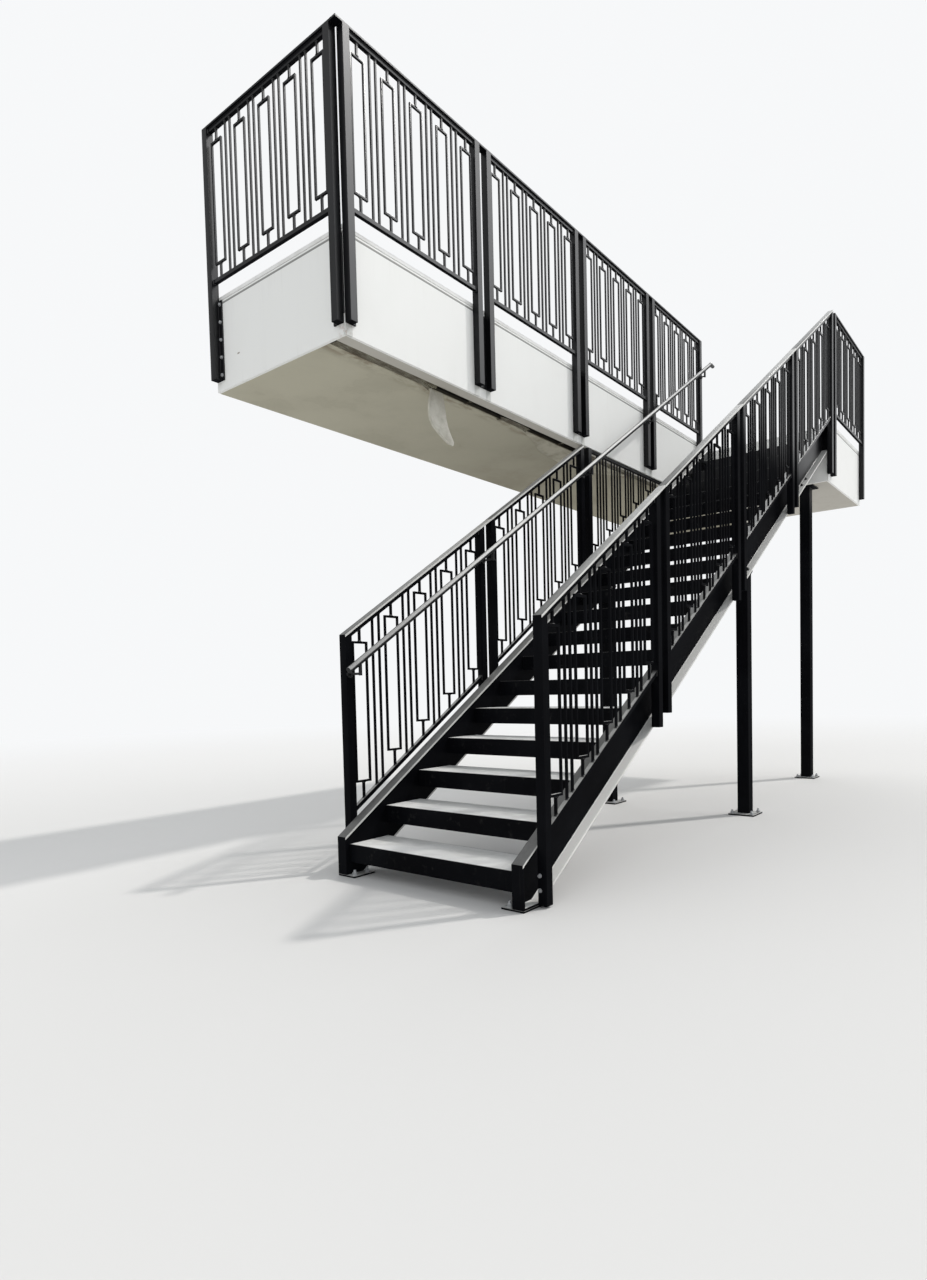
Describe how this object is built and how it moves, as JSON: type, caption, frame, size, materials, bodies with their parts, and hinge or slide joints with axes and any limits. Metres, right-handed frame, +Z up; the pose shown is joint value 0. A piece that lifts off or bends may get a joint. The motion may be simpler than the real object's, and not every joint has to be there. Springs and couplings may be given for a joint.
{
  "type": "fire escape stair",
  "caption": "Straight outside steel stair with open risers, filled pan treads, channel stringers and barred guards, rising to a landing and gallery held by a wall.",
  "frame": {"origin": "middle of the gallery's wall face: half way along gallery and landing, half way between soffit and deck", "axes": "+Z up, +Y into the wall that holds the gallery, +X along the wall in the direction in which the flight rises"},
  "size_m": [6.75, 2.6, 4.68],
  "materials": {
    "steel_black": "satin black paint",
    "fascia_white": "painted board, weathered",
    "kerb_white": "painted board",
    "soffit_beige": "matt painted board",
    "deck_coating": "grey sand-finished coating",
    "tread_concrete": "trowelled concrete"
  },
  "bodies": {
    "root": {"gallery_deck": "deck_coating", "landing_deck": "deck_coating", "gallery_fascia": "fascia_white", "landing_fascia": "fascia_white", "gallery_soffit": "soffit_beige", "landing_soffit": "soffit_beige", "edge_kerb": "kerb_white", "stringer_wall_side": "steel_black", "stringer_open_side": "steel_black", "foot_plates": "steel_black", "tread_fills": "tread_concrete", "handrail": "steel_black", "guard_gallery_end": "steel_black", "guard_gallery_1": "steel_black", "guard_gallery_2": "steel_black", "guard_gallery_3": "steel_black", "guard_gallery_4": "steel_black", "guard_landing": "steel_black", "guard_open_1": "steel_black", "guard_open_2": "steel_black", "guard_open_3": "steel_black", "guard_open_4": "steel_black", "guard_wall_1": "steel_black", "guard_wall_2": "steel_black", "guard_wall_end": "steel_black", "column_open_side": "steel_black", "column_wall_side": "steel_black", "column_landing": "steel_black", "tread_01": "steel_black", "tread_02": "steel_black", "tread_03": "steel_black", "tread_04": "steel_black", "tread_05": "steel_black", "tread_06": "steel_black", "tread_07": "steel_black", "tread_08": "steel_black", "tread_09": "steel_black", "tread_10": "steel_black", "tread_11": "steel_black", "tread_12": "steel_black", "tread_13": "steel_black", "tread_14": "steel_black", "tread_15": "steel_black", "tread_16": "steel_black", "tread_17": "steel_black", "tread_18": "steel_black", "tread_19": "steel_black"}
  },
  "joints": []
}
